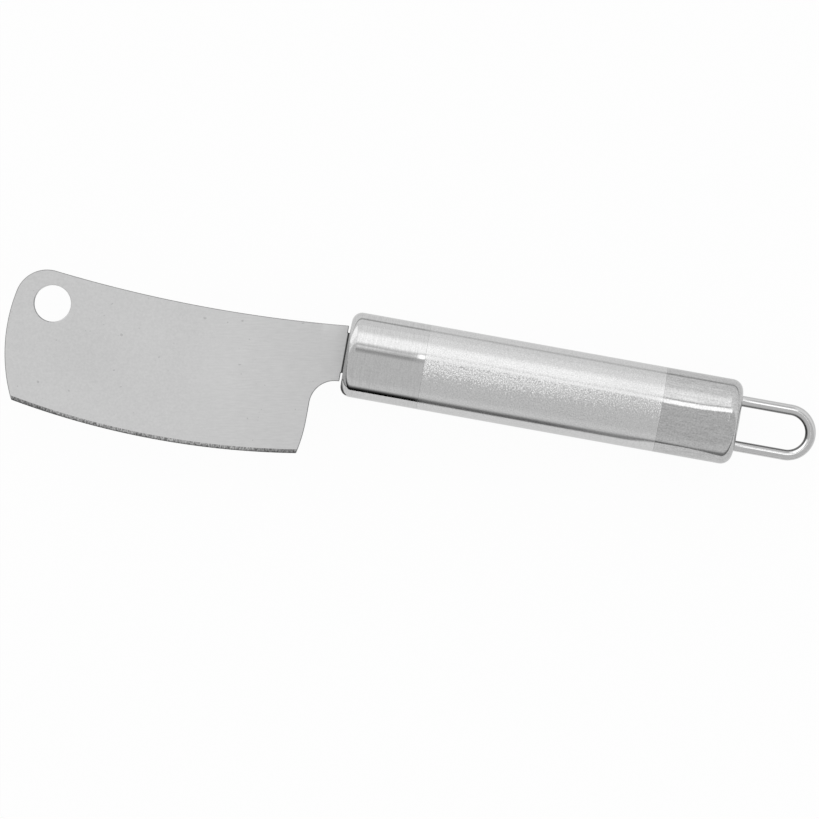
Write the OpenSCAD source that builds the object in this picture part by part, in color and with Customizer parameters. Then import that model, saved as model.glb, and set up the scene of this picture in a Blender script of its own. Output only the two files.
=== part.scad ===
// Mini cleaver: a stamped blade in a round steel handle with a wire hanging loop.
// It lies flat: +X runs from the nose to the loop, +Y from the edge to the spine, +Z is up.
// Each piece is drawn about the handle's axis, with X = 0 at the handle's front face,
// and place() then sets the whole knife down on its lowest line.

/* [Handle] */
// Outside diameter of the caps and the grip tube
handle_d = 20; // [18:0.5:24]
// Wall of the caps and the grip tube
shell_t = 0.6; // [0.4:0.1:1]
// Length of the polished front cap
front_cap_len = 18.3; // [14:0.1:24]
// Length of the satin grip tube
grip_len = 56; // [45:1:75]
// Length of the polished rear cap
rear_cap_len = 18.4; // [14:0.1:24]
// Outer corner radius of the front cap
front_round = 2.4; // [1.2:0.1:4]
// Outer corner radius of the rear cap
rear_round = 2.7; // [1.2:0.1:4]
// Broken edge where the tube meets each cap, seen as a fine seam
seam_break = 0.15; // [0.05:0.05:0.3]

/* [Blade] */
// Distance from the handle's front face to the foremost point of the nose
blade_reach = 79.1; // [72:0.1:86]
// Thickness of the blade and its tang
blade_t = 1.5; // [0.8:0.1:2]
// Radius of the curved cutting edge
edge_r = 199; // [160:1:260]
// Depth of the cutting edge below the handle's axis, at its lowest point
edge_drop = 27.7; // [25:0.1:32]
// Distance from the handle's front face to the edge's lowest point
edge_low_x = 39.7; // [35:0.1:45]
// Radius of the hollow spine
spine_r = 329; // [260:1:420]
// Height of the spine above the handle's axis, at its lowest point
spine_rise = 4.8; // [4:0.1:6]
// Distance from the handle's front face to the spine's lowest point
spine_low_x = 32.9; // [28:0.1:38]
// Radius of the nose
nose_r = 39.6; // [37:0.1:50]
// Depth of the foremost point below the handle's axis
nose_drop = 7.2; // [5:0.1:8]
// Radius of the corner between the nose and the spine
corner_r = 7.6; // [5:0.1:9]
// Diameter of the hanging hole
hole_d = 8.5; // [6:0.1:9]
// Distance from the foremost point back to the hole's centre
hole_setback = 9.6; // [8:0.1:14]
// Depth of the hole's centre below the handle's axis
hole_drop = 0.7; // [0:0.1:3]
// Free space between the heel and the handle
heel_gap = 6.5; // [5:0.1:9]
// Radius of the heel's curve
heel_r = 37; // [30:1:50]
// Depth below the handle's axis at which the heel's curve starts
heel_drop = 16.8; // [14:0.1:18]
// Radius of the notch between the heel and the neck
notch_r = 6; // [4:0.1:7]
// Depth of the neck's underside below the handle's axis
neck_drop = 6.8; // [5.8:0.1:7.5]
// Gap between the neck's shoulders and the front cap
shoulder_gap = 0.5; // [0.2:0.05:0.8]
// Width of the ground bevel along the edge
bevel_w = 0.9; // [0.5:0.1:2]
// Thickness left at the edge
edge_t = 0.2; // [0.1:0.05:0.4]

/* [Tang] */
// Height of the tang
tang_h = 9.5; // [8:0.1:11]
// Length of the tang inside the handle
tang_len = 24; // [20:0.5:26]
// Clearance all round the tang in the front cap's slot
slot_gap = 0.15; // [0.1:0.05:0.4]
// Diameter of the cross pin
pin_d = 3; // [2:0.1:4]
// Distance from the handle's front face to the cross pin
pin_setback = 13; // [9:0.5:15]
// Depth of the pin's ends below the plug's skin
pin_recess = 0.4; // [0.2:0.1:1]
// Broken edge at the pin's ends
pin_break = 0.4; // [0.1:0.1:0.6]

/* [Hang loop] */
// Diameter of the loop's wire
wire_d = 2.5; // [2:0.1:3]
// Distance between the centre lines of the two legs
loop_pitch = 10.6; // [9.5:0.1:12]
// How far the loop stands out behind the handle
loop_reach = 18.5; // [14:0.1:26]
// Clearance round each leg in the rear cap's holes
wire_gap = 0.1; // [0.05:0.05:0.3]
// Length of each leg past its clip
leg_tail = 2; // [1:0.5:4]
// Outside diameter of a clip
clip_d = 6.4; // [5.5:0.1:7.5]
// Thickness of a clip
clip_t = 0.6; // [0.4:0.1:1]
// Number of spring tongues in a clip
clip_tongues = 6; // [4:1:8]
// Width of the slits between the tongues
clip_slit = 0.5; // [0.3:0.1:0.7]

/* [Plugs] */
// How far each plug reaches past its cap into the grip tube
plug_reach = 10; // [8:0.5:14]
// Clearance round a piece that is pushed into another
fit_gap = 0.05; // [0.02:0.01:0.1]
// Number of glue flutes along a plug
flute_count = 6; // [4:2:10]
// Diameter of the tool that leaves a glue flute
flute_d = 2.2; // [1.4:0.1:3]
// Diameter of the cored pockets in a plug's inner end
core_d = 4.4; // [3:0.1:5]
// Depth of the cored pockets
core_depth = 8; // [4:0.5:9]

/* [Hidden] */
$fa = 1;
$fs = 0.2;

// How far a cutting shape runs past the piece that it cuts
over = 1;
// How far the nose corner's arc laps over the arcs that it touches
arc_lap = 0.01;

handle_r = handle_d / 2;
handle_len = front_cap_len + grip_len + rear_cap_len;
inner_r = handle_r - shell_t;
plug_r = inner_r - fit_gap;
front_plug_len = front_cap_len - shell_t + plug_reach;
rear_plug_len = rear_cap_len - shell_t + plug_reach;

// Centres of the blade's arcs
edge_centre = [-edge_low_x, edge_r - edge_drop];
spine_centre = [-spine_low_x, spine_r + spine_rise];
nose_centre = [nose_r - blade_reach, -nose_drop];
hole_centre = [hole_setback - blade_reach, -hole_drop];
heel_centre = [-heel_gap - heel_r, -heel_drop];

// The nose corner touches the nose from inside and the spine from outside
nose_to_corner = nose_r - corner_r;
spine_to_corner = spine_r + corner_r;
to_spine = spine_centre - nose_centre;
between = norm(to_spine);
along = (nose_to_corner ^ 2 - spine_to_corner ^ 2 + between ^ 2) / (2 * between);
aside = sqrt(nose_to_corner ^ 2 - along ^ 2);
ahead = to_spine / between;
corner_centre = nose_centre + along * ahead + aside * [-ahead.y, ahead.x];

// The loop's bend, and where the clips sit on the plug
bend_r = loop_pitch / 2;
bend_x = handle_len + loop_reach - bend_r - wire_d / 2;
clip_x = handle_len - shell_t - rear_plug_len;
leg_start = clip_x - clip_t - leg_tail;

// The whole knife is centred over the origin and stands on the handle's lowest line
x_mid = (handle_len + loop_reach - blade_reach) / 2;
y_mid = (handle_r - edge_drop) / 2;

// Sets a piece drawn about the handle's axis down in the knife's own frame
module place() {
    translate([-x_mid, -y_mid, handle_r]) children();
}

// Turns a shape drawn along Z so that it runs along the handle from x
module along_handle(x) {
    translate([x, 0, 0]) rotate([0, 90, 0]) children();
}

// Half section of a round bar whose corner at the near end is rounded
module rounded_half(radius, length, round) {
    difference() {
        square([radius, length]);
        translate([radius - round, 0]) difference() {
            translate([0, -over]) square([round + over, round + over]);
            translate([0, round]) circle(round);
        }
    }
}

// Half section of the sharp outer corner that a broken edge takes off
module broken_corner(radius, length, size) {
    polygon([
        [radius - size - over, length + over],
        [radius + over, length + over],
        [radius + over, length - size - over]
    ]);
}

// Outer corner radius of what fits inside a cap
function inner_round(round) = max(round - shell_t, seam_break);

// A drawn cup, closed at the near end
module cap_shell(length, round) {
    rotate_extrude() difference() {
        rounded_half(handle_r, length, round);
        translate([0, shell_t]) rounded_half(inner_r, length, inner_round(round));
        broken_corner(handle_r, length, seam_break);
    }
}

// A moulded plug that fills a cap from its closed end, with glue flutes along it
module plug_body(length, round) {
    difference() {
        rotate_extrude() rounded_half(plug_r, length, inner_round(round));
        for (i = [0 : flute_count - 1])
            rotate([0, 0, (i + 0.5) * 360 / flute_count])
                translate([plug_r, 0, -over])
                    cylinder(d = flute_d, h = length + 2 * over);
    }
}

// Side view of the tang from x to its round end, grown all round by gap
module tang_outline(x, gap) {
    tang_r = tang_h / 2 + gap;
    end_x = tang_len + gap - tang_r;
    translate([x, -tang_r]) square([end_x - x, 2 * tang_r]);
    translate([end_x, 0]) circle(tang_r);
}

// The sharp corner between the nose and the spine, which a disc then rounds
module nose_corner_cut() {
    to_nose = (corner_centre - nose_centre) / nose_to_corner * 2 * corner_r;
    to_back = (spine_centre - corner_centre) / spine_to_corner * 2 * corner_r;
    translate(corner_centre) polygon([[0, 0], to_nose, to_nose + to_back, to_back]);
}

// What is cut away behind the heel and under the neck
module heel_cut() {
    depth = 2 * edge_drop;
    difference() {
        translate([-heel_gap, -neck_drop - depth]) square([heel_gap + over, depth]);
        translate([-heel_gap, -neck_drop]) difference() {
            translate([-over, -notch_r]) square([notch_r + over, notch_r + over]);
            translate([notch_r, -notch_r]) circle(notch_r);
        }
    }
    difference() {
        translate([heel_centre.x, heel_centre.y - depth]) square([heel_r + over, depth]);
        translate(heel_centre) circle(heel_r);
    }
}

// All that lies behind the nose's arc
module behind_nose() {
    translate(nose_centre) {
        circle(nose_r);
        translate([0, -nose_r]) square([blade_reach, 2 * nose_r]);
    }
}

// Side view of the blade up to its shoulders
module blade_outline() {
    difference() {
        union() {
            difference() {
                intersection() {
                    translate(edge_centre) circle(edge_r);
                    behind_nose();
                }
                translate(spine_centre) circle(spine_r);
                nose_corner_cut();
            }
            translate(corner_centre) circle(corner_r + arc_lap);
        }
        heel_cut();
        translate([-shoulder_gap, -2 * nose_r]) square(4 * nose_r);
        translate(hole_centre) circle(d = hole_d);
    }
}

// The ring that grinds one face of the curved edge down to its bevel
module bevel_ring() {
    slope = (blade_t - edge_t) / 2 / bevel_w;
    lead = bevel_w / 4;
    inside = edge_r - bevel_w - lead;
    outside = edge_r + lead;
    top = blade_t / 2 + lead * slope;
    bottom = edge_t / 2 - lead * slope;
    translate(edge_centre) rotate_extrude()
        polygon([[inside, top], [outside, bottom], [outside, top]]);
}

module blade() {
    color("gainsboro") place() difference() {
        translate([0, 0, -blade_t / 2]) linear_extrude(blade_t) difference() {
            union() {
                blade_outline();
                tang_outline(-shoulder_gap - over, 0);
            }
            translate([pin_setback, 0]) circle(d = pin_d + 2 * fit_gap);
        }
        bevel_ring();
        mirror([0, 0, 1]) bevel_ring();
    }
}

module front_cap() {
    slot_h = tang_h + 2 * slot_gap;
    slot_w = blade_t + 2 * slot_gap;
    color("silver") place() difference() {
        along_handle(0) cap_shell(front_cap_len, front_round);
        translate([-over, -slot_h / 2, -slot_w / 2]) cube([shell_t + 2 * over, slot_h, slot_w]);
    }
}

module tang_plug() {
    slot_w = blade_t + 2 * fit_gap;
    pocket_z = (slot_w / 2 + plug_r) / 2;
    color("dimgray") place() difference() {
        along_handle(shell_t) plug_body(front_plug_len, front_round);
        translate([0, 0, -slot_w / 2]) linear_extrude(slot_w) tang_outline(-over, fit_gap);
        translate([pin_setback, 0, -handle_r]) cylinder(d = pin_d + 2 * fit_gap, h = handle_d);
        for (side = [-1, 1])
            translate([0, 0, side * pocket_z])
                along_handle(shell_t + front_plug_len - core_depth)
                    cylinder(d = core_d, h = core_depth + over);
    }
}

module tang_pin() {
    pin_end = plug_r - pin_recess;
    pin_r = pin_d / 2;
    color("slategray") place() translate([pin_setback, 0, 0]) rotate_extrude() polygon([
        [0, -pin_end],
        [pin_r - pin_break, -pin_end],
        [pin_r, pin_break - pin_end],
        [pin_r, pin_end - pin_break],
        [pin_r - pin_break, pin_end],
        [0, pin_end]
    ]);
}

module grip_tube() {
    color("lightgray") place() along_handle(front_cap_len) rotate_extrude() difference() {
        translate([inner_r, 0]) square([shell_t, grip_len]);
        broken_corner(handle_r, grip_len, seam_break);
        translate([0, grip_len]) mirror([0, 1]) broken_corner(handle_r, grip_len, seam_break);
    }
}

module loop_plug() {
    color("dimgray") place() difference() {
        translate([handle_len, 0, 0]) mirror([1, 0, 0])
            along_handle(shell_t) plug_body(rear_plug_len, rear_round);
        for (side = [-1, 1])
            translate([0, side * loop_pitch / 2, 0])
                along_handle(clip_x - over)
                    cylinder(d = wire_d + 2 * fit_gap, h = rear_plug_len + 2 * over);
        for (side = [-1, 1])
            translate([0, 0, side * plug_r / 2])
                along_handle(clip_x - over)
                    cylinder(d = core_d, h = core_depth + over);
    }
}

module rear_cap() {
    color("silver") place() difference() {
        translate([handle_len, 0, 0]) mirror([1, 0, 0])
            along_handle(0) cap_shell(rear_cap_len, rear_round);
        for (side = [-1, 1])
            translate([0, side * loop_pitch / 2, 0])
                along_handle(handle_len - shell_t - over)
                    cylinder(d = wire_d + 2 * wire_gap, h = shell_t + 2 * over);
    }
}

module hang_loop() {
    color("silver") place() {
        for (side = [-1, 1])
            translate([0, side * bend_r, 0])
                along_handle(leg_start) cylinder(d = wire_d, h = bend_x - leg_start);
        translate([bend_x, 0, 0]) rotate([0, 0, -90])
            rotate_extrude(angle = 180) translate([bend_r, 0]) circle(d = wire_d);
    }
}

module loop_clips() {
    hole_r = wire_d / 2 + fit_gap;
    slit_end = (hole_r + clip_d / 2) / 2;
    color("slategray") place()
        for (side = [-1, 1])
            translate([0, side * loop_pitch / 2, 0])
                along_handle(clip_x - clip_t)
                    linear_extrude(clip_t) difference() {
                        circle(d = clip_d);
                        circle(hole_r);
                        for (i = [0 : clip_tongues - 1])
                            rotate(i * 360 / clip_tongues)
                                translate([0, -clip_slit / 2]) square([slit_end, clip_slit]);
                    }
}

blade();
front_cap();
tang_plug();
tang_pin();
grip_tube();
loop_plug();
rear_cap();
hang_loop();
loop_clips();
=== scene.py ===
import math

import bmesh
import bpy
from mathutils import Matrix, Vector
from mathutils.geometry import intersect_sphere_sphere_2d


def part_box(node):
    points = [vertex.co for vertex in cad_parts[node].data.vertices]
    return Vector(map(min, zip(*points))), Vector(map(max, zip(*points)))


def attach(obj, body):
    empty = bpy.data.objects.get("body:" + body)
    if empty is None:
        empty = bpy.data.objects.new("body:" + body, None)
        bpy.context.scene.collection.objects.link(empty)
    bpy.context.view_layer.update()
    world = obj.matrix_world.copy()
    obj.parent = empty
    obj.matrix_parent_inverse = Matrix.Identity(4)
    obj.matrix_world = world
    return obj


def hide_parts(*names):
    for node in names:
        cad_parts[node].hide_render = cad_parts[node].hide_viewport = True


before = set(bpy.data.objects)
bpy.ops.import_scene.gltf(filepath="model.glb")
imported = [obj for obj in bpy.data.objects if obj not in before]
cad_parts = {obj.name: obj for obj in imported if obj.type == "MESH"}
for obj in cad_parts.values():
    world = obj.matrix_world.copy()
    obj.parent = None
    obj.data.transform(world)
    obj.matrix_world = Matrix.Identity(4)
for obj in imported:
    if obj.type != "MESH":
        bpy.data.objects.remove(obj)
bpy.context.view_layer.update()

# Blade: one plate of stainless steel, stamped to a round-nosed outline with a hanging hole and
# a tang for the handle. Its curved edge is ground on both faces and then honed, and its faces
# keep the hairlines of the polishing belt.
blade_low, blade_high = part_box("blade")
cap_low, cap_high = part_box("front_cap")
pin_low, pin_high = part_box("tang_pin")
face_x = cap_low.x
axis_y = (cap_low.y + cap_high.y) / 2
axis_z = (cap_low.z + cap_high.z) / 2
half_t = (blade_high.z - blade_low.z) / 2

# Radii of the outline's arcs, and how far their centres lie from the handle's face and axis
edge_r = 0.199
edge_back = 0.0397
spine_r = 0.329
spine_back = 0.0329
spine_rise = 0.0048
nose_r = 0.0396
nose_drop = 0.0072
corner_r = 0.0076
hole_r = 0.00425
hole_setback = 0.0096
hole_drop = 0.0007
heel_gap = 0.0065
heel_r = 0.037
heel_drop = 0.0168
notch_r = 0.006
neck_drop = 0.0068
shoulder_gap = 0.0005
tang_h = 0.0095
pin_hole_r = 0.00155
heel_x = face_x - heel_gap
neck_y = axis_y - neck_drop
shoulder_x = face_x - shoulder_gap
edge_centre = Vector((face_x - edge_back, blade_low.y + edge_r))
spine_centre = Vector((face_x - spine_back, axis_y + spine_rise + spine_r))
nose_centre = Vector((blade_low.x + nose_r, axis_y - nose_drop))
hole_centre = Vector((blade_low.x + hole_setback, axis_y - hole_drop))
heel_centre = Vector((heel_x - heel_r, axis_y - heel_drop))
notch_centre = Vector((heel_x + notch_r, neck_y - notch_r))
pin_centre = Vector(((pin_low.x + pin_high.x) / 2, axis_y))

# The grind: a bevel that starts this far from the edge, then a steep and very narrow honed strip
bevel_w = 0.0009
hone_w = 0.00015
hone_half_t = 0.00029
edge_half_t = 0.0001
edge_break = 0.00018
hole_break = 0.0003

forward = Vector((-1, 0))
backward = Vector((1, 0))


def crossing(centre_a, radius_a, centre_b, radius_b, side):
    """Where two arcs cross: of the two points, the one that lies furthest to that side."""
    return max(intersect_sphere_sphere_2d(centre_a, radius_a, centre_b, radius_b), key=side.dot)


class Outline:
    """A chain of edges on a level plane, drawn from a first point by extrude and spin."""

    longest_step = 0.001
    widest_step = math.radians(3)

    def __init__(self, name, start, z):
        bpy.ops.object.select_all(action="DESELECT")
        bpy.ops.mesh.primitive_plane_add(location=(*start, z))
        self.piece = bpy.context.object
        self.piece.name = self.piece.data.name = name
        bpy.ops.object.transform_apply(location=True)
        bpy.ops.object.mode_set(mode="EDIT")
        self.shrink(start, z)

    def begin_again(self, start, z):
        """A new chain in the same mesh."""
        bpy.ops.mesh.select_all(action="DESELECT")
        bpy.ops.mesh.primitive_plane_add(location=(*start, z))
        self.shrink(start, z)

    def shrink(self, start, z):
        """The plane that was just added becomes the chain's first point."""
        bpy.ops.mesh.merge(type="CENTER")
        self.at = Vector(start)
        self.z = z

    def line(self, x, y):
        """A straight edge to a point."""
        move = (x - self.at.x, y - self.at.y, 0)
        bpy.ops.mesh.extrude_vertices_move(TRANSFORM_OT_translate={"value": move})
        self.at = Vector((x, y))

    def arc(self, centre, to, left=True, steps=None):
        """An arc about a centre, turning left or right as it goes."""
        arm = self.at - centre
        end = Vector(to) - centre
        turn = math.atan2(end.y, end.x) - math.atan2(arm.y, arm.x)
        turn = turn % math.tau if left else -(-turn % math.tau)
        finest = max(abs(turn) / self.widest_step, abs(turn) * arm.length / self.longest_step)
        bpy.ops.mesh.spin(steps=steps or math.ceil(finest), angle=-turn,
                          center=(centre.x, centre.y, self.z), axis=(0, 0, 1))
        self.at = Vector(to)


weld = 1e-7
near = 1e-5
smooth_angle = math.radians(14)


def select_edges(piece, wanted):
    """Select just the edges that pass a test, in edit mode."""
    bpy.ops.mesh.select_mode(type="EDGE")
    mesh = bmesh.from_edit_mesh(piece.data)
    for edge in mesh.edges:
        edge.select_set(False)
    for edge in mesh.edges:
        if wanted(edge):
            edge.select_set(True)
    bmesh.update_edit_mesh(piece.data)


def on_circle(edge, centre, radius):
    """Whether both ends of an edge lie on a circle, as seen from above."""
    return all(abs((point.co.xy - centre).length - radius) < near for point in edge.verts)


def close_piece():
    """Weld the doubled points, turn all faces outwards and leave edit mode."""
    bpy.ops.mesh.select_mode(type="VERT")
    bpy.ops.mesh.select_all(action="SELECT")
    bpy.ops.mesh.remove_doubles(threshold=weld)
    bpy.ops.mesh.normals_make_consistent(inside=False)
    bpy.ops.object.mode_set(mode="OBJECT")
    bpy.ops.object.shade_smooth_by_angle(angle=smooth_angle)


def apply_modifier(piece, kind, **settings):
    """Add one modifier to a piece, set it up and apply it."""
    bpy.context.view_layer.objects.active = piece
    bpy.ops.object.modifier_add(type=kind)
    modifier = piece.modifiers[-1]
    for setting, value in settings.items():
        setattr(modifier, setting, value)
    bpy.ops.object.modifier_apply(modifier=modifier.name)


# One face of the blade is drawn above the plane z = 0, with its rim brought down to that plane
corner_centre = crossing(nose_centre, nose_r - corner_r, spine_centre, spine_r + corner_r, forward)
corner_to_spine = spine_centre + (corner_centre - spine_centre).normalized() * spine_r
corner_to_nose = nose_centre + (corner_centre - nose_centre).normalized() * nose_r
shoulder_top_y = spine_centre.y - math.sqrt(spine_r ** 2 - (shoulder_x - spine_centre.x) ** 2)
bevel_r = edge_r - bevel_w
hone_r = edge_r - hone_w
tang_r = tang_h / 2
tang_end_x = blade_high.x - tang_r
grind_steps = 90
hole_points = 96

blade_outline = Outline("blade_plate", (shoulder_x, shoulder_top_y), half_t)
blade = blade_outline.piece
blade_outline.arc(spine_centre, corner_to_spine, left=False)
blade_outline.arc(corner_centre, corner_to_nose)
blade_outline.arc(nose_centre, crossing(nose_centre, nose_r, edge_centre, bevel_r, forward))
blade_outline.arc(edge_centre, crossing(heel_centre, heel_r, edge_centre, bevel_r, backward),
                  steps=grind_steps)
blade_outline.arc(heel_centre, (heel_x, heel_centre.y))
blade_outline.line(heel_x, notch_centre.y)
blade_outline.arc(notch_centre, (notch_centre.x, neck_y), left=False)
blade_outline.line(shoulder_x, neck_y)
blade_outline.line(shoulder_x, axis_y - tang_r)
blade_outline.line(tang_end_x, axis_y - tang_r)
blade_outline.arc(Vector((tang_end_x, axis_y)), (tang_end_x, axis_y + tang_r))
blade_outline.line(shoulder_x, axis_y + tang_r)
blade_outline.line(shoulder_x, shoulder_top_y)
for centre, radius in ((hole_centre, hole_r + hole_break), (pin_centre, pin_hole_r)):
    bpy.ops.mesh.primitive_circle_add(vertices=hole_points, radius=radius,
                                      location=(centre.x, centre.y, half_t))
bpy.ops.mesh.select_all(action="SELECT")
bpy.ops.mesh.remove_doubles(threshold=weld)
bpy.ops.mesh.fill(use_beauty=True)

# The bevel and the honed strip hang on the face's lower border
for radius, height in ((hone_r, hone_half_t), (edge_r, edge_half_t)):
    blade_outline.begin_again(crossing(nose_centre, nose_r, edge_centre, radius, forward), height)
    blade_outline.arc(edge_centre, crossing(heel_centre, heel_r, edge_centre, radius, backward),
                      steps=grind_steps)
for both_r in ((bevel_r, hone_r), (hone_r, edge_r)):
    select_edges(blade, lambda edge: len(edge.link_faces) < 2 and any(
        on_circle(edge, edge_centre, radius) for radius in both_r))
    bpy.ops.mesh.bridge_edge_loops()

# The hanging hole's sharp rim is rubbed round, in steps of one ring each
hole_rings = 5
ring_r, ring_z = hole_r + hole_break, half_t
for ring in range(1, hole_rings + 1):
    turn = ring / hole_rings * math.pi / 2
    next_r = hole_r + hole_break * (1 - math.sin(turn))
    next_z = half_t - hole_break * (1 - math.cos(turn))
    select_edges(blade, lambda edge: edge.is_boundary and on_circle(edge, hole_centre, ring_r))
    bpy.ops.mesh.extrude_edges_move(TRANSFORM_OT_translate={"value": (0, 0, next_z - ring_z)})
    bpy.ops.transform.resize(value=(next_r / ring_r, next_r / ring_r, 1),
                             center_override=(hole_centre.x, hole_centre.y, 0))
    ring_r, ring_z = next_r, next_z

# The other face mirrors this one, the rim's corners are broken, and the plate is lifted to its place
break_steps = 2
break_angle = math.radians(50)
select_edges(blade, lambda edge: edge.is_boundary)
bpy.ops.mesh.extrude_edges_move(TRANSFORM_OT_translate={"value": (0, 0, 0)})
bpy.ops.transform.resize(value=(1, 1, 0), center_override=(0, 0, 0))
close_piece()
apply_modifier(blade, "MIRROR", use_axis=(False, False, True), use_clip=True, merge_threshold=weld)
apply_modifier(blade, "BEVEL", width=edge_break, segments=break_steps, limit_method="ANGLE",
               angle_limit=break_angle, loop_slide=False)
bpy.ops.object.mode_set(mode="EDIT")
bpy.ops.mesh.select_all(action="SELECT")
bpy.ops.transform.translate(value=(0, 0, axis_z))
close_piece()


class Shade:
    """One value in a material's nodes. Arithmetic on it adds Math nodes beside it."""

    def __init__(self, tree, socket=None):
        self.tree = tree
        self.socket = socket

    def node(self, kind, settings=(), inputs=(), output=0):
        """Any other node: its settings first, then the values or links of its sockets."""
        made = self.tree.nodes.new(kind)
        for setting, value in dict(settings).items():
            setattr(made, setting, value)
        for name, value in dict(inputs).items():
            self.feed(made.inputs[name], value)
        return Shade(self.tree, made.outputs[output])

    def feed(self, socket, value):
        """Link a shade to a socket, or set a plain value on it."""
        if isinstance(value, Shade):
            self.tree.links.new(value.socket, socket)
        else:
            socket.default_value = value

    def maths(self, operation, *others):
        """A Math node that works on this value first, then on the others."""
        return self.node("ShaderNodeMath", {"operation": operation}, enumerate((self, *others)))

    def vector(self, operation, *others, output="Vector"):
        """A Vector Math node that works on this place or direction first, then on the others."""
        settings = {"operation": operation}
        return self.node("ShaderNodeVectorMath", settings, enumerate((self, *others)), output)

    def __add__(self, other):
        return self.maths("ADD", other)

    def __sub__(self, other):
        return self.maths("SUBTRACT", other)

    def __rsub__(self, other):
        return self.node("ShaderNodeMath", {"operation": "SUBTRACT"}, {0: other, 1: self})

    def __mul__(self, other):
        return self.maths("MULTIPLY", other)

    def __truediv__(self, other):
        return self.maths("DIVIDE", other)

    __radd__ = __add__
    __rmul__ = __mul__

    def part(self, axis):
        """One of the three parts of a place or direction."""
        return self.node("ShaderNodeSeparateXYZ", inputs={0: self}, output=axis)

    def between(self, low, high):
        """0 below low, 1 above high, and a smooth rise from one to the other."""
        return self.node("ShaderNodeMapRange", {"interpolation_type": "SMOOTHSTEP"},
                         {"Value": self, "From Min": low, "From Max": high})

    def past(self, border, half_width):
        """0 before a border, 1 past it, and a smooth rise over it."""
        return self.between(border - half_width, border + half_width)

    def within(self, rise, fall):
        """0 outside, a smooth rise over the first span, 1, and a smooth fall over the second."""
        return self.between(*rise) * (1 - self.between(*fall))

    def mix(self, none, full):
        """One value where this is 0, another where it is 1, and in proportion between."""
        return none + (full - none) * self


def new_finish(name):
    """An empty material, and the place on the piece, in metres, that its patterns follow."""
    material = bpy.data.materials.new(name)
    material.use_nodes = True
    return material, Shade(material.node_tree).node("ShaderNodeTexCoord", output="Object")


def set_finish(piece, material, **sockets):
    """Set or link the shader's sockets and make this the piece's one material."""
    shader = material.node_tree.nodes["Principled BSDF"]
    for name, value in sockets.items():
        Shade(material.node_tree).feed(shader.inputs[name.replace("_", " ").title()], value)
    piece.data.materials.clear()
    piece.data.materials.append(material)


noise_middle = 0.5


def grain(place, scale, turn=0.0, layers=2.0):
    """Noise about 0, with a count per metre in X, Y and Z, turned about Z, in layers of detail."""
    turned = place.node("ShaderNodeMapping", {}, {"Vector": place, "Rotation": (0, 0, turn)})
    spread = turned.vector("MULTIPLY", scale)
    noise = place.node("ShaderNodeTexNoise", {}, {"Vector": spread, "Scale": 1.0, "Detail": layers})
    return noise - noise_middle


def arm_from(place, centre):
    """How far each place on the piece lies from an upright axis, as a level vector."""
    return place.vector("MULTIPLY", (1, 1, 0)).vector("SUBTRACT", (centre.x, centre.y, 0))


# The edge: dull grey grinding marks, palest at the bevel's inner side and darker towards the nose and
# the heel, with painted shade that darkens them most along the honed strip
grind_scale = (3000, 1500, 100)
grind_range = (-0.2, 0.2)
grind_greys = (0.12, 0.62)
bevel_border = 0.00005
inner_span = (bevel_r + 0.0001, bevel_r + 0.0006)
inner_gain = 0.1
honed_span = (edge_r - 0.0004, edge_r)
honed_shade_depth = 0.5
nose_end_span = (blade_low.x + 0.01114, blade_low.x + 0.01614)
heel_end_span = (heel_x - 0.01245, heel_x - 0.00745)
bevel_end_depth = 0.32
blade_finish, place = new_finish("blade_steel")
along_blade = place.part("X")
reach = arm_from(place, edge_centre).vector("LENGTH", output="Value")
ground = reach.past(bevel_r, bevel_border)
grind_marks = grain(place, grind_scale, layers=3.0).between(*grind_range)
inner_side = 1 - reach.between(*inner_span)
# Painted shade along the honed strip, darkest at the very edge
painted_honed_shade = reach.between(*honed_span)
bevel_ends = 1 - along_blade.between(*nose_end_span) + along_blade.between(*heel_end_span)
ground_grey = ((grind_marks.mix(*grind_greys) + inner_gain * inner_side)
               * (1 - honed_shade_depth * painted_honed_shade) * (1 - bevel_end_depth * bevel_ends))

# The rim: painted shade darkens its steep faces, less of it by the hanging hole, apart from the hole's
# side towards the nose and the edge, where painted shade stands for the shade on the hole's wall
level_range = (0.93, 0.97)
rim_shade_depth = 0.6
hole_rim_span = (hole_r + 1.2 * hole_break, hole_r + 2 * hole_break)
hole_shade_relief = 0.5
hole_wall_shade_way = (-0.8, -0.6, 0)
hole_wall_shade_span = (0.2 * hole_r, 0.9 * hole_r)
hole_wall_shade_depth = 0.5
hole_arm = arm_from(place, hole_centre)
by_hole = 1 - hole_arm.vector("LENGTH", output="Value").between(*hole_rim_span)
painted_hole_wall_shade = by_hole * hole_arm.vector("DOT_PRODUCT", hole_wall_shade_way, output="Value").between(*hole_wall_shade_span)
upward = place.node("ShaderNodeNewGeometry", output="True Normal").part("Z")
rim = (1 - ground) * (1 - upward.maths("ABSOLUTE").between(*level_range))
# Painted shade on the rim's steep faces and on one side of the hanging hole's wall
painted_rim_shade = rim * (rim_shade_depth - hole_shade_relief * by_hole + hole_wall_shade_depth * painted_hole_wall_shade)

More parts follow.
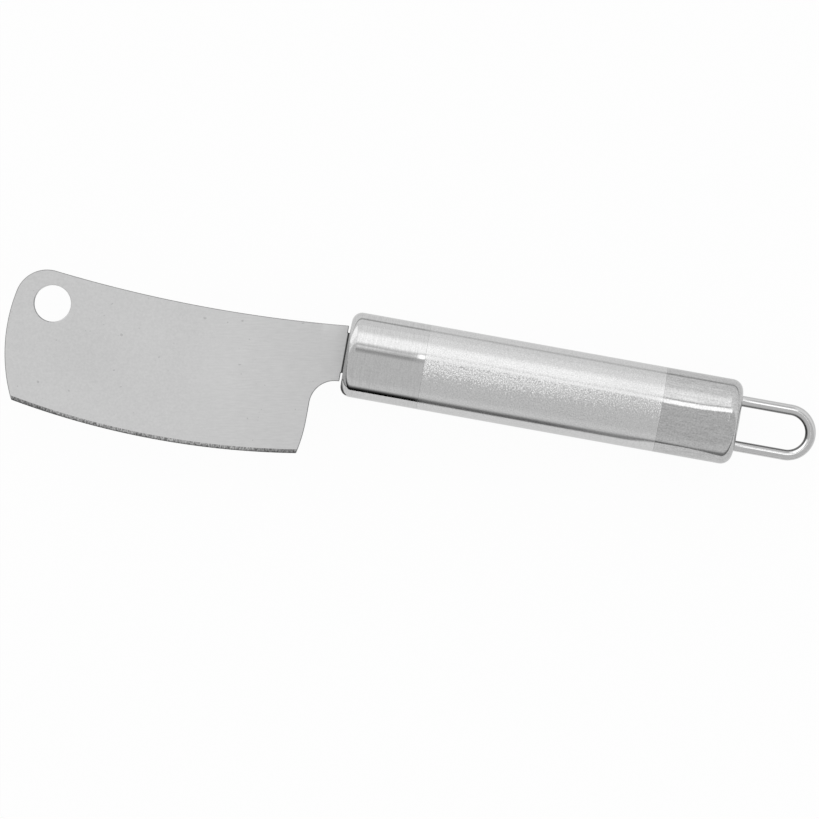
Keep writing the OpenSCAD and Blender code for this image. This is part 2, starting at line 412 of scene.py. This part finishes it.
# The faces: belt hairlines on the neck's half, a matt grain on the nose's, faint stains and a few
# dark specks, a slight shade by the neck, and painted shade in the gap where the shoulders meet the cap
blade_grey = 0.75
belt_turn = math.radians(-10.2)
lined_span = (face_x - 0.03895, face_x - 0.02395)
hairline_scale = (350, 2600, 100)
nose_hairline_depth = 0.03
neck_hairline_depth = 0.16
matt_scale = (1900, 1900, 1900)
nose_matt_depth = 0.16
neck_matt_depth = 0.05
stain_scale = (60, 60, 60)
stain_depth = 0.1
speck_scale = (700, 700, 700)
speck_range = (0.25, 0.29)
speck_depth = 0.2
neck_span = (face_x - 0.02895, face_x - 0.00395)
neck_depth = 0.05
crevice_shade_border = 0.00008
crevice_shade_depth = 0.9
hairlines = grain(place, hairline_scale, belt_turn)
matt = grain(place, matt_scale, layers=1.0)
lined = along_blade.between(*lined_span)
belt_marks = (lined.mix(nose_hairline_depth, neck_hairline_depth) * hairlines
              + lined.mix(nose_matt_depth, neck_matt_depth) * matt)
stains = grain(place, stain_scale, layers=4.0)
specks = grain(place, speck_scale, layers=1.0).between(*speck_range)
neckward = along_blade.between(*neck_span)
face_grey = blade_grey * (1 + belt_marks + stain_depth * stains - speck_depth * specks
                          - painted_rim_shade - neck_depth * neckward)
# Painted shade on the tang past the shoulders, where it enters the cap
painted_crevice_shade = along_blade.past(shoulder_x, crevice_shade_border)

blade_roughness = 0.34
long_line_scale = (25, 1500, 100)
long_line_roughness = 0.06
grind_roughness = 0.1
long_lines = grain(place, long_line_scale, belt_turn)
set_finish(blade, blade_finish,
           base_color=ground.mix(face_grey, ground_grey) * (1 - crevice_shade_depth * painted_crevice_shade),
           metallic=1.0,
           roughness=blade_roughness + long_line_roughness * long_lines + grind_roughness * ground)
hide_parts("blade")
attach(blade, "root")

# Front cap: a cup drawn from thin stainless sheet, closed and rounded at the blade's end, with a
# slot that the tang passes through. It is glued over the tang plug and polished bright.
handle_r = (cap_high.y - cap_low.y) / 2
shell_t = 0.0006
cut_depth = 4 * shell_t
front_round = 0.0024
seam_break = 0.00003
slot_gap = 0.00015
lathe_steps = 192


def lathe():
    """Turn the half section that was just drawn once round the handle's axis and close the solid."""
    bpy.ops.mesh.select_all(action="SELECT")
    bpy.ops.mesh.remove_doubles(threshold=weld)
    bpy.ops.mesh.spin(steps=lathe_steps, angle=math.tau, center=(0, axis_y, axis_z), axis=(1, 0, 0))
    close_piece()


def drawn_cup(name, closed_x, open_x, corner):
    """A cup about the handle's axis, from the middle of its closed end to its rim and back."""
    way = math.copysign(1, open_x - closed_x)
    left = way < 0
    inner_r = handle_r - shell_t
    inner_corner = corner - shell_t
    bend_x = closed_x + way * corner
    floor_x = closed_x + way * shell_t
    section = Outline(name, (closed_x, axis_y), axis_z)
    section.line(closed_x, axis_y + handle_r - corner)
    section.arc(Vector((bend_x, axis_y + handle_r - corner)), (bend_x, axis_y + handle_r), left)
    section.line(open_x - way * seam_break, axis_y + handle_r)
    section.line(open_x, axis_y + handle_r - seam_break)
    section.line(open_x, axis_y + inner_r)
    section.line(bend_x, axis_y + inner_r)
    section.arc(Vector((bend_x, axis_y + inner_r - inner_corner)),
                (floor_x, axis_y + inner_r - inner_corner), not left)
    section.line(floor_x, axis_y)
    lathe()
    return section.piece


def cut_away(piece, cutter):
    """Subtract a cutter that was just added, and remove it."""
    bpy.ops.object.select_all(action="DESELECT")
    apply_modifier(piece, "BOOLEAN", operation="DIFFERENCE", solver="EXACT", object=cutter)
    bpy.data.objects.remove(cutter)


front_cap = drawn_cup("front_cap_cup", cap_low.x, cap_high.x, front_round)
bpy.ops.object.select_all(action="DESELECT")
bpy.ops.mesh.primitive_cube_add(size=1, location=(face_x, axis_y, axis_z))
slot_cutter = bpy.context.object
slot_cutter.scale = (cut_depth, tang_h + 2 * slot_gap, 2 * (half_t + slot_gap))
cut_away(front_cap, slot_cutter)

grazing_tint = (0.86, 0.86, 0.86, 1)
dent_scale = (220, 220, 220)
dent_height = 0.000004


def bumps(height):
    """The normal of a surface that stands out by this height, in metres."""
    return height.node("ShaderNodeBump", {}, {"Height": height, "Distance": 1.0})


def polish(piece, name, grey, line_scale, line_depth, line_height, haze_scale, haze_depth,
           roughness, haze_roughness):
    """A bright finish with the fine lines of its last pass, a haze between them and shallow dents."""
    finish, place = new_finish(name)
    lines = grain(place, line_scale)
    haze = grain(place, haze_scale, layers=1.0)
    dents = grain(place, dent_scale, layers=1.0)
    set_finish(piece, finish,
               base_color=grey * (1 + line_depth * lines + haze_depth * haze),
               metallic=1.0,
               specular_tint=grazing_tint,
               roughness=roughness + haze_roughness * haze,
               normal=bumps(line_height * lines + dent_height * dents))


steel_grey = 0.58
polish(front_cap, "polished_steel", grey=steel_grey,
       line_scale=(6000, 300, 300), line_depth=0.35, line_height=0.0000001,
       haze_scale=(3000, 3000, 3000), haze_depth=0.35, roughness=0.075, haze_roughness=0.04)
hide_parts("front_cap")
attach(front_cap, "root")

# Tang plug and tang pin: a moulded plastic plug that lines the front cap up with the tube, and
# the plain steel pin that is driven through it and the tang. Both are shut inside the handle.
plastic_grey = 0.015
flow_scale = (80, 300, 300)
flow_depth = 0.006
skin_scale = (2500, 2500, 2500)
skin_height = 0.00001
plastic_roughness = 0.5
skin_roughness = 0.12
plastic_finish, place = new_finish("plug_plastic")
mould_skin = grain(place, skin_scale, layers=3.0)
set_finish(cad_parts["tang_plug"], plastic_finish,
           base_color=plastic_grey + flow_depth * grain(place, flow_scale),
           roughness=plastic_roughness + skin_roughness * mould_skin,
           normal=bumps(skin_height * mould_skin))

plain_grey = 0.47
drawn_scale = (4000, 4000, 200)
drawn_depth = 0.1
plain_roughness = 0.32
drawn_roughness = 0.12
plain_finish, place = new_finish("plain_steel")
drawn_lines = grain(place, drawn_scale)
set_finish(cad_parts["tang_pin"], plain_finish,
           base_color=plain_grey + drawn_depth * drawn_lines,
           metallic=1.0,
           roughness=plain_roughness + drawn_roughness * drawn_lines)

# Grip tube: the middle of the handle, a length of thin steel tube with its outside blasted to a
# satin grain. Its edges are broken where it butts against the caps, which shows as two fine seams.
grip_low, grip_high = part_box("grip_tube")
outer_y = axis_y + handle_r
inner_y = outer_y - shell_t
grip_start = (grip_low.x, outer_y - seam_break)
grip_section = Outline("grip_sleeve", grip_start, axis_z)
grip_section.line(grip_low.x + seam_break, outer_y)
grip_section.line(grip_high.x - seam_break, outer_y)
grip_section.line(grip_high.x, outer_y - seam_break)
grip_section.line(grip_high.x, inner_y)
grip_section.line(grip_low.x, inner_y)
grip_section.line(*grip_start)
grip = grip_section.piece
lathe()

# The blasted grain is a tilt of the surface round the tube. It fades towards the rear, and it stands
# out between two lines along the tube, told by how far the surface faces the spine.
satin_grey = 0.62
satin_roughness = 0.15
fine_scale = (9000, 6000, 6000)
coarse_scale = (4200, 3200, 3200)
coarse_depth = 0.55
coarse_roughness = 0.04
rear_fade = 0.14
raised_rise = (-0.65, -0.4)
raised_fall = (0.2, 0.3)
slope_range = (-0.05, 0.03)
slope_tilt = 0.26
steep_start = 0.02
steep_tilt = 1.05
satin_finish, place = new_finish("satin_steel")
fine_grain = grain(place, fine_scale, layers=0.0)
coarse_grain = grain(place, coarse_scale, layers=1.0)
rearward = place.part("X").between(grip_low.x, grip_high.x)
mixed_grain = fine_grain + coarse_grain - rear_fade * rearward * rearward
outward = place.node("ShaderNodeNewGeometry", output="Normal")
raised = outward.part("Y").within(raised_rise, raised_fall)
steepest = (mixed_grain - steep_start).maths("MAXIMUM", 0)
tilt = raised * (slope_tilt * mixed_grain.between(*slope_range) + steep_tilt * steepest)
around = outward.vector("CROSS_PRODUCT", (1, 0, 0))
set_finish(grip, satin_finish,
           base_color=satin_grey * (1 + coarse_depth * coarse_grain),
           metallic=1.0,
           specular_tint=grazing_tint,
           roughness=satin_roughness + coarse_roughness * coarse_grain,
           normal=around.vector("MULTIPLY_ADD", tilt, outward).vector("NORMALIZE"))
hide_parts("grip_tube")
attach(grip, "root")

# Loop plug and loop clips: the rear plug of the same moulded plastic, which carries the loop's two
# legs, and the spring clips that are pushed on the legs behind it. All are shut inside the handle.
for node, finish in (("loop_plug", plastic_finish), ("loop_clips", plain_finish)):
    set_finish(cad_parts[node], finish)

# Rear cap: a second drawn cup, rounded a little more than the front one, with two holes for the
# loop's legs. It is glued over the loop plug, and buffed lengthwise to a hazier shine.
rear_low, rear_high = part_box("rear_cap")
loop_low, loop_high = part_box("hang_loop")
wire_r = (loop_high.z - loop_low.z) / 2
bend_r = (loop_high.y - loop_low.y) / 2 - wire_r
rear_round = 0.0027
wire_gap = 0.0001
wire_points = 40
quarter_turn = math.radians(90)
rear_cap = drawn_cup("rear_cap_cup", rear_high.x, rear_low.x, rear_round)
for side in (-1, 1):
    bpy.ops.object.select_all(action="DESELECT")
    bpy.ops.mesh.primitive_cylinder_add(
        vertices=wire_points, radius=wire_r + wire_gap, depth=cut_depth,
        location=(rear_high.x, axis_y + side * bend_r, axis_z), rotation=(0, quarter_turn, 0))
    cut_away(rear_cap, bpy.context.object)

rear_grey = 0.505
polish(rear_cap, "rear_polished_steel", grey=rear_grey,
       line_scale=(300, 4000, 4000), line_depth=0.5, line_height=0.0000002,
       haze_scale=(2500, 2500, 2500), haze_depth=0.65, roughness=0.09, haze_roughness=0.05)
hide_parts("rear_cap")
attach(rear_cap, "root")

# Hang loop: bright drawn steel wire, cut to length and bent to a U in one plane with the blade. Its
# legs go through the rear cap and the loop plug, and the clips hold them there.
bend_x = loop_high.x - bend_r - wire_r
leg = bend_x - loop_low.x
bend_steps = 64
bpy.ops.object.select_all(action="DESELECT")
bpy.ops.mesh.primitive_circle_add(
    vertices=wire_points, radius=wire_r, location=(loop_low.x, axis_y - bend_r, axis_z),
    rotation=(0, quarter_turn, 0))
hang_loop = bpy.context.object
hang_loop.name = hang_loop.data.name = "hang_loop_wire"
bpy.ops.object.transform_apply(location=True, rotation=True)
bpy.ops.object.mode_set(mode="EDIT")
bpy.ops.mesh.extrude_region_move(TRANSFORM_OT_translate={"value": (leg, 0, 0)})
bpy.ops.mesh.spin(steps=bend_steps, angle=-math.pi, center=(bend_x, axis_y, axis_z), axis=(0, 0, 1))
bpy.ops.mesh.extrude_region_move(TRANSFORM_OT_translate={"value": (-leg, 0, 0)})
bpy.ops.mesh.select_all(action="SELECT")
bpy.ops.mesh.fill_holes(sides=0)
close_piece()

degree = math.radians(1)


def degrees_round(aside, along):
    """How far a direction is turned from along to aside, in degrees."""
    return aside.maths("ARCTAN2", along) / degree


# Painted shade darkens the inside of the U, most of all in the bend's spine half, and a painted
# highlight brightens one side of the bend
die_scale = (1500, 1500, 5000)
die_depth = 0.2
die_height = 0.0000005
die_roughness = 0.06
wire_roughness = 0.1
inner_range = (0.45, 0.85)
inner_shade_depth = 0.7
bend_shade_depth = 0.25
bend_span = (0, bend_r / 2)
spine_half_span = (-0.2 * bend_r, 0.1 * bend_r)
bend_highlight_grey = 0.97
bend_highlight_rise = (0.15, 0.3)
bend_highlight_fall = (0.5, 0.62)
highlight_turn_rise = (-70, -58)
highlight_turn_fall = (-14, -6)
wire_finish, place = new_finish("loop_steel")
die_lines = grain(place, die_scale)
along = place.part("X") - bend_x
aside = place.part("Y") - axis_y
past_bend = along.maths("MAXIMUM", 0)
from_middle = (past_bend * past_bend + aside * aside).maths("SQRT")
inward = (bend_r - from_middle) / wire_r
in_bend = past_bend.between(*bend_span) * aside.between(*spine_half_span)
# Painted shade on the inside of the U
painted_inner_shade = inward.between(*inner_range) * (inner_shade_depth + bend_shade_depth * in_bend)
wire_grey_and_shade = steel_grey * (1 + die_depth * die_lines) * (1 - painted_inner_shade)
turn_round_bend = degrees_round(aside, along)
# Painted highlight on one side of the bend
painted_bend_highlight = inward.within(bend_highlight_rise, bend_highlight_fall) * turn_round_bend.within(highlight_turn_rise, highlight_turn_fall)
set_finish(hang_loop, wire_finish,
           base_color=painted_bend_highlight.mix(wire_grey_and_shade, bend_highlight_grey),
           metallic=1.0,
           specular_tint=grazing_tint,
           roughness=wire_roughness + die_roughness * die_lines,
           normal=bumps(die_height * die_lines))
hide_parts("hang_loop")
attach(hang_loop, "root")

# Camera: a long lens far above the knife, looking straight down. It is turned about its own axis, so
# that the knife lies across the picture as in the photograph.
camera_turn = math.radians(10.181)
camera_height = 1.5
camera_at = (0.00077, -0.00151)
field = 0.19113
clip_start = 0.01
bpy.ops.object.camera_add(location=(*camera_at, axis_z + camera_height), rotation=(0, 0, camera_turn))
camera = bpy.context.object
camera.data.lens = camera.data.sensor_width * camera_height / field
camera.data.clip_start = clip_start
bpy.context.scene.camera = camera
bpy.context.scene.view_settings.view_transform = "Standard"

# Floor: a wide sweep of white paper that the knife lies on. The camera sees it white, with a trace of
# the knife's shadow, and the steel mirrors it a little greyer. From beneath it is clear.
floor_size = 12.0
floor_gap = 0.0002
paper_white = (0.95, 0.95, 0.95, 1)
full_white = (1, 1, 1, 1)
white_share = 0.95
mirrored_share = 0.8


def set_surface(piece, material, shader):
    """Make a shader the whole surface of a material, and that material the piece's own."""
    shader.feed(material.node_tree.nodes["Material Output"].inputs["Surface"], shader)
    piece.data.materials.append(material)


bpy.ops.object.select_all(action="DESELECT")
bpy.ops.mesh.primitive_plane_add(size=floor_size, location=(0, 0, -floor_gap))
floor = bpy.context.object
floor.name = "floor"
sweep_finish, place = new_finish("white_sweep")
seen = (white_share * place.node("ShaderNodeLightPath", output="Is Camera Ray")
        + mirrored_share * place.node("ShaderNodeLightPath", output="Is Glossy Ray")
        + mirrored_share * place.node("ShaderNodeLightPath", output="Is Transmission Ray"))
paper = place.node("ShaderNodeBsdfDiffuse", {}, {"Color": paper_white})
white = place.node("ShaderNodeEmission", {}, {"Color": full_white})
lit = place.node("ShaderNodeMixShader", {}, {0: seen, 1: paper, 2: white})
from_beneath = place.node("ShaderNodeNewGeometry", output="Backfacing")
clear = place.node("ShaderNodeBsdfTransparent")
set_surface(floor, sweep_finish,
            place.node("ShaderNodeMixShader", {}, {0: from_beneath, 1: lit, 2: clear}))

# Tent: pale grey cloth all round the knife, lit evenly from outside. It is whiter low down, most of
# all on the spine's side, and the two ends of the soft lamp shine through it beyond the handle. Here
# and on the screen, angles are in degrees from upright towards the spine.
tent_grey = 0.74
soft_lamp = 0.75
soft_tail = 0.31
tent_lamp_span = (28, 38)
tent_tail_span = (52, 79)
nose_lamp_end = 0.6
nose_lamp_range = (-0.4, -0.2)
loop_lamp_end = 0.45
loop_lamp_range = (0.1, 0.2)
low_glow = 0.09
low_glow_span = (-82, -62)
tent = bpy.data.worlds.new("tent")
tent.use_nodes = True
direction = Shade(tent.node_tree).node("ShaderNodeTexCoord", output="Generated")
endward = direction.part("X")
lean_out = degrees_round(direction.part("Y"), direction.part("Z"))
lamp_ends = (nose_lamp_end * (1 - endward.between(*nose_lamp_range))
             + loop_lamp_end * endward.between(*loop_lamp_range))
soft_ends = soft_lamp * lamp_ends * lean_out.within(tent_lamp_span, tent_tail_span)
far_light = (soft_tail * lean_out.between(*tent_tail_span)
             + low_glow * (1 - lean_out.between(*low_glow_span)))
direction.feed(tent.node_tree.nodes["Background"].inputs["Color"], tent_grey + soft_ends + far_light)
bpy.context.scene.world = tent

# Screen: a curved sheet of the same cloth close over the handle, with a soft lamp and a narrow strip
# lamp behind it. Their light and its borders differ from cap to grip to cap, as the handle's finishes
# mirror them. The screen is seen in the steel only.
screen_r = 0.06
screen_low_x = face_x - 0.01395
screen_high_x = loop_high.x + 0.00485
screen_sides = 144
screen_rise = (-8, -6)
screen_fall = (72, 78)
parallax = (screen_r - handle_r) / camera_height
seam_half = 0.0002
blade_end_span = (face_x + 0.003, face_x + 0.012)
loop_end_span = (rear_high.x + 0.00128, rear_high.x + 0.00225)

# Both lamps lie further towards the spine over the rear cap's end
rear_shift = 4.8
rear_shift_span = (rear_low.x + 0.0085, rear_high.x)

# The soft lamp starts further out over the rear cap and by the blade, and is weaker over the grip
soft_start = 24.5
rear_soft_start = 29.5
blade_soft_delay = 2
soft_full = 36
rear_soft_full = 34.5
soft_tail_span = (51, 68)
rear_soft_loss = 0.05
grip_soft_loss = 0.1
grip_end_soft_loss = 0.19
grip_end_loss_span = (grip_high.x - 0.02325, grip_high.x - 0.00325)

# The strip lamp ends by the front seam, with only a faint line from there to the blade
cap_strip_level = 1.3
grip_strip_level = 0.65
cap_strip_start = 16.8
grip_strip_start = 19.6
strip_border = 2
strip_fall = (27, 29)
strip_end_span = (cap_high.x - 0.0021, cap_high.x - 0.0015)
faint_level = 0.16
blade_faint_level = 0.32
faint_rise = (19, 21.5)
faint_fall = (23, 26)

# The dark gap beside the strip lamp, nearer to upright, over the front cap
gap_depth = 0.28
gap_rise = (4, 13)
gap_fall = (15.3, 18)
gap_fade = 0.55
gap_fade_span = (cap_high.x - 0.0045, cap_high.x - 0.0005)


def light_card(card, level):
    """Make the new active object a card that glows as its grey says, as far as it covers."""
    bpy.ops.object.transform_apply(location=True, rotation=True, scale=True)
    finish, place = new_finish(card.name)
    grey, cover = level(place)
    glow = place.node("ShaderNodeEmission", {}, {"Color": grey})
    clear = place.node("ShaderNodeBsdfTransparent")
    set_surface(card, finish, place.node("ShaderNodeMixShader", {}, {0: cover, 1: clear, 2: glow}))
    card.visible_camera = False
    card.visible_diffuse = False
    card.visible_shadow = False


def over_handle(place):
    """The screen's grey, and its cover. X is where the handle's crown shows a place to the camera."""
    x = (place.part("X") + parallax * camera_at[0]) / (1 + parallax)
    angle = degrees_round(place.part("Y") - axis_y, place.part("Z") - axis_z)
    by_blade = 1 - x.between(*blade_end_span)
    past_front = x.past(cap_high.x, seam_half)
    on_rear = x.past(rear_low.x, seam_half)
    on_grip = past_front * (1 - on_rear)
    on_loop = x.between(*loop_end_span)
    shifted = angle - rear_shift * x.between(*rear_shift_span)

    soft_foot = on_rear.mix(soft_start, rear_soft_start) + blade_soft_delay * by_blade
    soft_head = on_rear.mix(soft_full, rear_soft_full)
    grip_loss = on_grip * x.between(*grip_end_loss_span).mix(grip_soft_loss, grip_end_soft_loss)
    soft_level = soft_lamp - rear_soft_loss * on_rear - grip_loss
    soft_fade = angle.between(*soft_tail_span)
    soft = shifted.between(soft_foot, soft_head) * soft_fade.mix(soft_level, soft_tail)

    strip_foot = on_grip.mix(cap_strip_start, grip_strip_start)
    strip_band = shifted.within((strip_foot, strip_foot + strip_border), strip_fall)
    strip_on = x.between(*strip_end_span)
    strip = strip_band * strip_on * on_grip.mix(cap_strip_level, grip_strip_level)
    faint_line = angle.within(faint_rise, faint_fall) * by_blade.mix(faint_level, blade_faint_level)
    lamps = (soft * (1 - on_loop)).maths("MAXIMUM", strip + (1 - strip_on) * faint_line)

    gap = (gap_depth * angle.within(gap_rise, gap_fall) * (1 - past_front)
           * (1 - gap_fade * x.between(*gap_fade_span)))
    cover = angle.within(screen_rise, screen_fall) * (1 - on_loop * (1 - strip_band))
    return tent_grey + lamps - gap, cover


bpy.ops.object.select_all(action="DESELECT")
bpy.ops.mesh.primitive_cylinder_add(
    vertices=screen_sides, radius=screen_r, depth=screen_high_x - screen_low_x, end_fill_type="NOTHING",
    location=((screen_low_x + screen_high_x) / 2, axis_y, axis_z), rotation=(0, quarter_turn, 0))
screen = bpy.context.object
screen.name = "screen_over_handle"
light_card(screen, over_handle)

# Lamp over the hang loop and lamp end beside the neck: an even lamp with soft borders high above the
# wire, and the near end of the soft lamp, an upright card that the front cap's corner mirrors. Both
# are seen in the steel only.
loop_lamp = 1.3
loop_lamp_z = 0.25
loop_lamp_low = (rear_high.x + 0.001, axis_y - 0.004)
loop_lamp_high = (rear_high.x + 0.036, axis_y + 0.1)
loop_lamp_rise = (loop_lamp_low[1], loop_lamp_low[1] + 0.012)
loop_lamp_fall = (loop_lamp_high[1] - 0.033, loop_lamp_high[1])


def add_card(name, centre, size, level, turn=0.0):
    """A card of a size about its centre, level or turned from there about Y."""
    bpy.ops.object.select_all(action="DESELECT")
    bpy.ops.mesh.primitive_plane_add(size=1, location=centre, rotation=(0, turn, 0))
    card = bpy.context.object
    card.name = name
    card.scale = (*size, 1)
    light_card(card, level)


def level_card(name, low, high, level, z=0.0):
    """A level card between two corners, on the floor or over it."""
    middle = ((low[0] + high[0]) / 2, (low[1] + high[1]) / 2, z)
    add_card(name, middle, (high[0] - low[0], high[1] - low[1]), level)


def over_loop(place):
    """One even lamp with soft borders."""
    even = place.part("Y").within(loop_lamp_rise, loop_lamp_fall)
    return tent_grey + loop_lamp * even, even


level_card("loop_lamp_card", loop_lamp_low, loop_lamp_high, over_loop, loop_lamp_z)

lamp_end_centre = (face_x - 0.007, axis_y + 0.0125, axis_z + 0.018)
lamp_end_size = (0.024, 0.019)
lamp_end_rise = (0.0032, 0.005)
lamp_end_fall = (0.006, 0.012)
lamp_end_slant = 0.6


def beside_neck(place):
    """The soft lamp's near end under a slanting border, seen from the handle's side only."""
    from_behind = place.node("ShaderNodeNewGeometry", output="Backfacing")
    spineward = place.part("Y") - axis_y
    raised_by = place.part("Z") - axis_z - lamp_end_slant * spineward
    lit_part = spineward.between(*lamp_end_rise) * (1 - raised_by.between(*lamp_end_fall))
    return tent_grey + soft_lamp * lit_part, lit_part * (1 - from_behind)


add_card("lamp_end_card", lamp_end_centre, lamp_end_size, beside_neck, quarter_turn)

# Cards on the floor: a dark card under the neck, painted shade that stands for the floor's shadow
# there, a black card along the edge's side and a grey strip along the spine's. They draw the dark
# lines in the polished steel and are seen in the steel only.
neck_card_low = (face_x - 0.012, axis_y - 0.016)
neck_card_high = (face_x, axis_y - 0.004)
neck_card_greys = (0.1, 0.6)
neck_card_span = (0.004, 0.012)


# Painted shade: a dark card for the floor's shadow under the neck
def painted_neck_shade(place):
    """Dark by the cap and paler away from it, over the whole card."""
    return (face_x - place.part("X")).between(*neck_card_span).mix(*neck_card_greys), 1.0


level_card("neck_shade_card", neck_card_low, neck_card_high, painted_neck_shade)

edge_card_low = (-2.0, -3.0)
edge_card_high = (2.0, -0.03)
edge_border_y = axis_y - 0.04485
edge_border_half = 0.0005
step_back = 0.039
step_back_span = (rear_low.x - 0.00525, rear_low.x + 0.00375)
step_forth = 0.034
step_forth_span = (rear_high.x - 0.00765, rear_high.x + 0.00035)
step_dark = 0.15
grip_pale = 0.14
grip_pale_half = 0.001
grip_end_pale = 0.16
grip_end_span = (grip_high.x - 0.02825, grip_high.x - 0.00325)
rear_pale = 0.1
rear_pale_span = (rear_low.x + 0.00475, rear_low.x + 0.01175)
near_pale = 0.45
near_pale_span = (0.01, 0.15)
far_pale = 0.36
far_pale_span = (0.1, 0.5)
palest = 0.77


def edge_side(place):
    """Black at the near border, which steps back beside the rear cap, and paler further away."""
    x = place.part("X")
    step = x.between(*step_back_span)
    border_y = edge_border_y - step_back * step + step_forth * x.between(*step_forth_span)
    off = border_y - place.part("Y")
    pale = (grip_pale * x.past(grip_low.x, grip_pale_half) + grip_end_pale * x.between(*grip_end_span)
            - step_dark * step + rear_pale * x.between(*rear_pale_span))
    grey = pale + near_pale * off.between(*near_pale_span) + far_pale * off.between(*far_pale_span)
    return grey.maths("MINIMUM", palest), off.past(0, edge_border_half)


level_card("edge_side_card", edge_card_low, edge_card_high, edge_side)

spine_card_low = (-0.25, axis_y + 0.02115)
spine_card_high = (0.3, axis_y + 0.05115)
spine_card_rise = (axis_y + 0.03215, axis_y + 0.03515)
spine_card_fall = (axis_y + 0.04215, axis_y + 0.04715)
spine_card_greys = (0.52, 0.65)
grip_fade = 0.002


def spine_side(place):
    """One grey strip with soft borders, paler beside the grip."""
    by_grip = place.part("X").within((grip_low.x - grip_fade, grip_low.x),
                                     (grip_high.x, grip_high.x + grip_fade))
    return by_grip.mix(*spine_card_greys), place.part("Y").within(spine_card_rise, spine_card_fall)


level_card("spine_side_card", spine_card_low, spine_card_high, spine_side)
